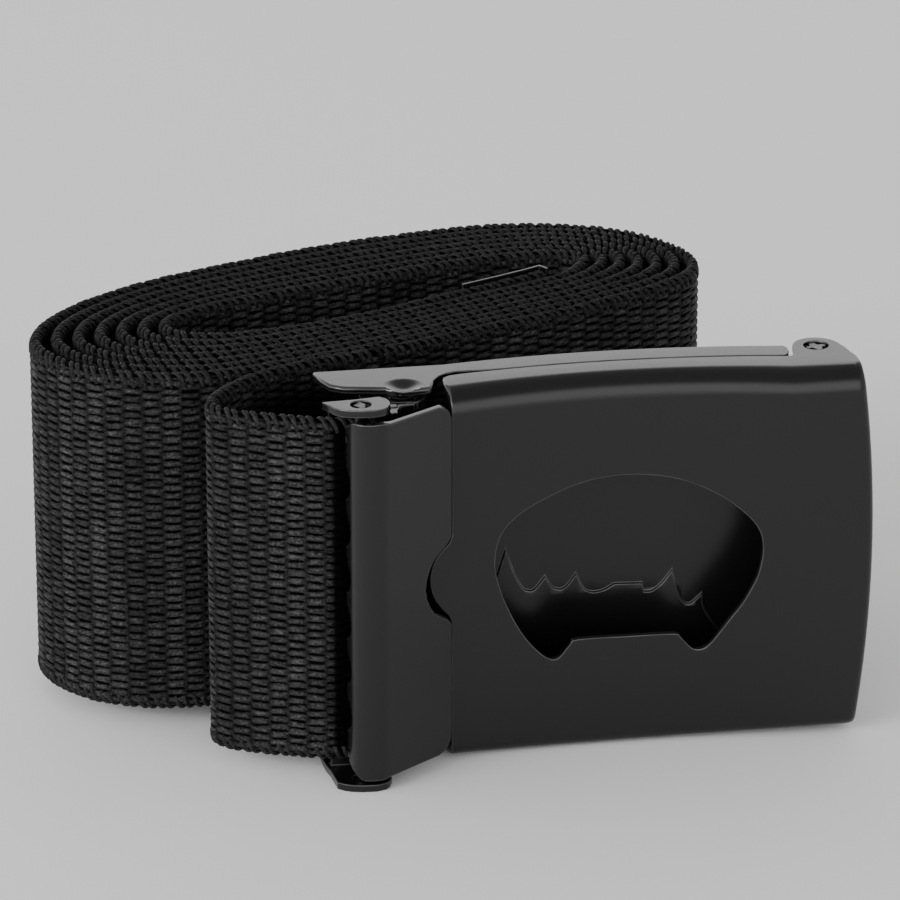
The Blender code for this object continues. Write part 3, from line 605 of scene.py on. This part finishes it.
def make_webbing():
    """Black polyester: painted shade in the weave's gaps, on the edge under the loops, at the clamp's mouth
    and inside the turn, and painted shading over each float; each float has its own tone, and fibres run
    along it.
    """
    mat, tree, shader = nodes_of("webbing_black")
    new, link = tree.nodes.new, tree.links.new

    def read(name):
        node = new("ShaderNodeAttribute")
        node.attribute_name = name
        return node.outputs["Fac"]

    def calc(op, a, b=None, c=None):
        node = new("ShaderNodeMath")
        node.operation = op
        for k, value in enumerate((a, b, c)):
            if isinstance(value, (int, float)):
                node.inputs[k].default_value = value
            elif value is not None:
                link(value, node.inputs[k])
        return node.outputs[0]

    def smooth(value, start, stop):
        """0 before start, 1 after stop; start may be the larger one."""
        target = (float(start > stop), float(start < stop))
        return map_range(tree, value, (min(start, stop), max(start, stop)), target)

    def choose(which, a, b):
        node = new("ShaderNodeMix")
        for socket, value in (("Factor", which), ("A", b), ("B", a)):
            link(value, node.inputs[socket])
        return node.outputs[0]

    def chance(x, y, z):
        cell = new("ShaderNodeCombineXYZ")
        for socket, value in zip("XYZ", (x, y, z)):
            if value is not None:
                link(value, cell.inputs[socket])
        noise = new("ShaderNodeTexWhiteNoise")
        link(cell.outputs[0], noise.inputs["Vector"])
        return noise.outputs["Value"]

    def grain(lengthwise, crosswise, lean, detail):
        """Noise with its own pace along and across the strap, leaning over as it runs."""
        where, noise = new("ShaderNodeCombineXYZ"), new("ShaderNodeTexNoise")
        link(calc("MULTIPLY", along, lengthwise), where.inputs["X"])
        link(calc("MULTIPLY_ADD", along, lean, calc("MULTIPLY", across, crosswise)), where.inputs["Y"])
        noise.inputs["Scale"].default_value, noise.inputs["Detail"].default_value = 1.0, detail
        link(where.outputs[0], noise.inputs["Vector"])
        return noise.outputs["Fac"]

    along, across, flip = read("along"), read("across"), read("flip")
    drift = calc("MULTIPLY_ADD", grain(*UNEVEN), WANDER, -WANDER / 2)
    x, y, tones, strips = [], [], [], []
    for phase in (0.0, 0.5):
        col = calc("MULTIPLY_ADD", along, 0.5 / PICK, phase)
        row = calc("MULTIPLY_ADD", across, 1 / ROW, calc("MULTIPLY_ADD", flip, 0.5, drift))
        row = calc("ADD", row, phase)
        col_id, row_id = calc("ROUND", col), calc("ROUND", row)
        x.append(calc("MULTIPLY", calc("ABSOLUTE", calc("SUBTRACT", col, col_id)), 4.0))
        y.append(calc("MULTIPLY", calc("ABSOLUTE", calc("SUBTRACT", row, row_id)), 2.0))
        strip = calc("ADD", col_id, phase)
        tones.append(chance(strip, row_id, flip))
        strips.append(chance(strip, None, flip))
    first = calc("LESS_THAN", x[0], x[1])
    tone, strip = choose(first, *tones), choose(first, *strips)
    near_x, near_y = calc("MINIMUM", *x), choose(first, *y)
    # painted shade in the slits between floats that touch side by side
    slit = calc("MULTIPLY", smooth(calc("MULTIPLY_ADD", strip, SLIT_PLAY[0], near_y), *SLIT[0]),
                smooth(calc("MULTIPLY_ADD", tone, SLIT_PLAY[1], near_x), *SLIT[1]))
    woven = calc("GREATER_THAN", across, ON_LOOP / 2)
    # painted shade on the woven edge under the selvedge loops
    rim = calc("LESS_THAN", across, (ON_LOOP + ON_RIM) / 2)
    # painted shade on the webbing where it goes into the clamp's mouth
    mouth_shade_from = path.total - MOUTH_SHADE
    # one mask of painted shade: slits, the edge under the loops and the clamp's mouth; it also sets roughness
    # and bump
    painted_shade = calc("MAXIMUM", calc("MULTIPLY", slit, woven), rim)
    painted_shade = calc("MAXIMUM", painted_shade, smooth(along, mouth_shade_from - MOUTH_SHADE_FADE, mouth_shade_from))
    top = WEB_W - 2 * SELVEDGE
    # painted shade on the inside of the strap's turn, fading out toward the strap's upper edge
    pocket_shade = calc("MULTIPLY", calc("LESS_THAN", flip, 0.5),
                  smooth(along, coil_end - POCKET_SHADE_RUN[0], coil_end - POCKET_SHADE_RUN[1]))
    pocket_shade = calc("MULTIPLY", pocket_shade, smooth(across, top - POCKET_SHADE_DEEP[0], top - POCKET_SHADE_DEEP[1]))

    fibre = grain(*STREAKS)
    place = new("ShaderNodeTexCoord")
    fuzz = new("ShaderNodeTexNoise")
    fuzz.inputs["Scale"].default_value, fuzz.inputs["Detail"].default_value = FUZZ
    link(place.outputs["Object"], fuzz.inputs["Vector"])

    lit = calc("MULTIPLY_ADD", tone, BLACK_FLOAT, calc("MULTIPLY_ADD", strip, BLACK_STRIP, BLACK))
    shades = ((fibre, 3.0, -0.5),                          # streaks along the yarn
              (fuzz.outputs["Fac"], 3.4, -0.7),            # single fibres that catch the light
              (smooth(near_x, 0.3, 1.0), -0.8, 1.45),      # painted shading along a float: lighter at its middle, darker at its ends, where it dives
              (smooth(near_y, 0.2, 0.9), -0.6, 1.15),      # painted shading across a float: lighter along its middle, darker at its two sides
              (painted_shade, -0.97, 1.0),                      # painted shade in the slits, on the edge under the loops and at the clamp's mouth
              (pocket_shade, -0.88, 1.0))                        # painted shade inside the turn
    for value, gain, start in shades:
        lit = calc("MULTIPLY", lit, calc("MULTIPLY_ADD", value, gain, start))
    colour = new("ShaderNodeCombineColor")
    for k in ("Red", "Green", "Blue"):
        link(lit, colour.inputs[k])
    link(colour.outputs[0], shader.inputs["Base Color"])
    link(calc("MULTIPLY_ADD", painted_shade, 0.45, YARN_ROUGH), shader.inputs["Roughness"])
    height = calc("MULTIPLY_ADD", painted_shade, -1.0, calc("MULTIPLY", fibre, 0.6))
    height = calc("MULTIPLY_ADD", fuzz.outputs["Fac"], 0.3, height)
    bump = new("ShaderNodeBump")
    bump.inputs["Strength"].default_value, bump.inputs["Distance"].default_value = YARN_BUMP
    link(height, bump.inputs["Height"])
    link(bump.outputs[0], shader.inputs["Normal"])
    shader.inputs["Specular IOR Level"].default_value = YARN_SHINE
    return mat


PAINT, RUBBED = (0.004, 0.004, 0.0041, 1), (0.12, 0.12, 0.12, 1)
PAINT_ROUGH, PAINT_SHINE, PAINT_BUMP = (0.20, 0.27), 0.4, (0.15, 0.00004)
GRAIN, WEAR = 900.0, 350.0         # scale of the paint's orange peel, and of the rubbed patches


def make_enamel():
    """Satin black over steel; the broken edges are rubbed a little brighter."""
    mat, tree, shader = nodes_of("black_enamel")
    new, link = tree.nodes.new, tree.links.new

    place, edge = new("ShaderNodeTexCoord"), new("ShaderNodeAttribute")
    edge.attribute_name = "edge"
    grain, wear = new("ShaderNodeTexNoise"), new("ShaderNodeTexNoise")
    for noise, scale in ((grain, GRAIN), (wear, WEAR)):
        noise.inputs["Scale"].default_value, noise.inputs["Detail"].default_value = scale, 2.0
        link(place.outputs["Object"], noise.inputs["Vector"])
    rubbed = new("ShaderNodeMath")
    rubbed.operation = "MULTIPLY"
    link(edge.outputs["Fac"], rubbed.inputs[0])
    link(map_range(tree, wear.outputs["Fac"], (0, 1), (-0.2, 1.2), smooth=False), rubbed.inputs[1])
    rubbed.use_clamp = True
    colour = new("ShaderNodeMix")
    colour.data_type = "RGBA"
    link(rubbed.outputs[0], colour.inputs["Factor"])
    colour.inputs["A"].default_value = PAINT
    colour.inputs["B"].default_value = RUBBED
    link(colour.outputs["Result"], shader.inputs["Base Color"])
    link(rubbed.outputs[0], shader.inputs["Metallic"])
    link(map_range(tree, grain.outputs["Fac"], (0, 1), PAINT_ROUGH, smooth=False), shader.inputs["Roughness"])
    bump = new("ShaderNodeBump")
    bump.inputs["Strength"].default_value, bump.inputs["Distance"].default_value = PAINT_BUMP
    link(grain.outputs["Fac"], bump.inputs["Height"])
    link(bump.outputs[0], shader.inputs["Normal"])
    shader.inputs["Specular IOR Level"].default_value = PAINT_SHINE
    return mat


coil_end = path.turn_at(TURNS + 2 / len(INNER))
webbing, enamel = make_webbing(), make_enamel()

# ---------------------------------------------------------------- the strap
innermost = path.turn_at(1.06)
outermost = path.turn_at(6.10)
middle = (outermost + coil_end) / 2
strap = [web_piece("strap_inner", 0.0, innermost, PLAIN, COARSE),
         web_piece("strap_core", innermost, outermost, PLAIN, PLAIN),
         web_piece("strap_outer_a", outermost, middle, FINE, PLAIN),
         web_piece("strap_outer_b", middle, coil_end, FINE, PLAIN),
         web_piece("strap_lead", coil_end, path.total, COARSE, FINE)]
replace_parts(strap[0], "strap")


def finish(obj, name, body):
    """Move a metal part to the frame, shade it and let it ride on its body."""
    mesh = obj.data
    obj.name = mesh.name = name
    co = np.array([v.co for v in mesh.vertices])
    mesh.vertices.foreach_set("co", world(co).astype(np.float32).ravel())
    mesh.shade_smooth()
    mesh.set_sharp_from_angle(angle=radians(40))
    mesh.materials.append(enamel)
    obj.modifiers.new("even", "WEIGHTED_NORMAL").keep_sharp = True
    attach(obj, body)
    return obj


def metal(name, node, body, obj, radius, bent=False):
    """Break the edges of a metal part, finish it and let it stand for its CAD node."""
    break_edges(obj, radius)
    if bent:
        bend(obj)
    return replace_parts(finish(obj, name, body), node)


metal("clamp_bracket", "clamp_body", "belt", clamp_body(), 0.12)
metal("cam_lever", "clamp_lever", "lever", lever(), 0.14)
metal("flip_cover", "cover_plate", "cover", cover(), 0.12, bent=True)
metal("buckle_back", "base_frame", "buckle_base", base(), 0.12, bent=True)
for name in ("clamp_pin", "cover_pin"):
    frame["nodes"][name].data.materials.clear()
    frame["nodes"][name].data.materials.append(enamel)


TIP_GAP, TIP_LIP, TIP_OVER = 0.12, 0.2, 0.3    # sheet off the webbing's face, its end, and its edges


def strap_tip():
    """Folded sheet round the strap's cut end: tall on the roll's inner side, sunk into the weave outside."""
    centre, left = path.at(np.linspace(0.1, TIP_LEN, 24))
    off = np.array((-left[0][1], left[0][0]))
    near, far = HALF + TIP_GAP, HALF + TIP_GAP + TIP_T
    lip, end = TIP_LIP, TIP_LIP + TIP_T
    outline = [c - side * far for c, side in zip(centre[::-1], left[::-1])]
    outline += [centre[0] - left[0] * far + off * end, centre[0] + left[0] * near + off * end]
    outline += [centre[0] + left[0] * near + off * lip, centre[0] - left[0] * near + off * lip]
    outline += [c - side * near for c, side in zip(centre, left)]
    return prism("tip", [tuple(p) for p in outline], WEB_Z0 - TIP_OVER, WEB_Z0 + WEB_W + TIP_OVER)


STAR, STAR_TURN, HAMMERED = 0.22, 0.3, 0.12    # how deep the star's notches are, its angle, its rough top


def pin_end(name, body, centre, z, radius):
    """Staked end of a pin: a small rough star of metal."""
    star = []
    for turn in np.linspace(0, 2 * pi, 24, endpoint=False):
        r = radius * (1 - STAR + STAR * cos(4 * turn))
        star.append((centre[0] + r * cos(turn + STAR_TURN), centre[1] + r * sin(turn + STAR_TURN)))
    obj = prism(name, star, *z)
    for v in obj.data.vertices:
        if v.co.z > sum(z) / 2:
            v.co.z -= HAMMERED * (1 + sin(5 * v.co.x + 3 * v.co.y))
    finish(obj, name, body)


metal("tip_fold", "strap_tip", "belt", strap_tip(), 0.08)
pin_end("clamp_pin_stake", "belt", LEVER_PIN, (BUCKLE_H + 0.6, BUCKLE_H + 1.0), 0.85)
pin_end("cover_pin_stake", "buckle_base", COVER_PIN, (BUCKLE_H - 0.5, BUCKLE_H - 0.02), 1.2)

# ---------------------------------------------------------------- camera, floor, light
VIEW_AZIMUTH, VIEW_ELEVATION, DISTANCE = radians(-9.5), radians(21.0), 0.600
AIM = world((1.77, 11.88, 31.33))
camera = bpy.data.objects.new("camera", bpy.data.cameras.new("camera"))
bpy.context.scene.collection.objects.link(camera)
camera.data.lens, camera.data.sensor_width = 217.2, 36.0
camera.data.clip_start = 0.01
back = Vector((sin(VIEW_AZIMUTH) * cos(VIEW_ELEVATION), -cos(VIEW_AZIMUTH) * cos(VIEW_ELEVATION),
               sin(VIEW_ELEVATION)))
camera.location = Vector(AIM) + back * DISTANCE
camera.rotation_euler = back.to_track_quat("Z", "Y").to_euler()
bpy.context.scene.camera = camera

bpy.ops.mesh.primitive_plane_add(size=6)
floor = bpy.context.object
floor.name = "floor"
white, _, shader = nodes_of("floor_white")
shader.inputs["Base Color"].default_value = (0.93, 0.93, 0.93, 1)
shader.inputs["Roughness"].default_value = 0.9
floor.data.materials.append(white)


def make_studio():
    """A bright band round the horizon in front and behind, dimmer to the right, and dark overhead."""
    world_light = bpy.data.worlds.new("studio")
    world_light.use_nodes = True
    tree = world_light.node_tree
    new, link = tree.nodes.new, tree.links.new

    ray, split, mix, dim = (new("ShaderNode" + kind) for kind in ("TexCoord", "SeparateXYZ", "Mix", "Math"))
    link(ray.outputs["Generated"], split.inputs[0])
    dim.operation = "MULTIPLY"
    link(map_range(tree, split.outputs["Y"], (-0.8, 0.6), (FRONT_LIGHT, BACK_LIGHT)), dim.inputs[0])
    link(map_range(tree, split.outputs["X"], (0.25, 0.85), (1.0, RIGHT_DIM)), dim.inputs[1])
    link(map_range(tree, split.outputs["Z"], (0.40, 0.70), (0.0, 1.0)), mix.inputs["Factor"])
    link(dim.outputs[0], mix.inputs["A"])
    mix.inputs["B"].default_value = CEILING
    background = tree.nodes["Background"]
    background.inputs["Color"].default_value = (1, 1, 1, 1)
    link(mix.outputs[0], background.inputs["Strength"])
    return world_light


FRONT_LIGHT, BACK_LIGHT, CEILING, RIGHT_DIM = 2.5, 2.0, 0.45, 0.35
bpy.context.scene.world = make_studio()


def softbox(name, place, aim, size, power):
    """Rectangular lamp at a place, turned to face a point."""
    lamp = bpy.data.objects.new(name, bpy.data.lights.new(name, "AREA"))
    bpy.context.scene.collection.objects.link(lamp)
    lamp.data.shape, lamp.data.size, lamp.data.size_y = "RECTANGLE", size[0], size[1]
    lamp.data.energy = power
    lamp.location = place
    lamp.rotation_euler = (Vector(place) - Vector(aim)).to_track_quat("Z", "Y").to_euler()
    return lamp


softbox("key", (-0.75, -0.45, 0.35), (0, 0, 0.02), (0.4, 0.4), 4.0)
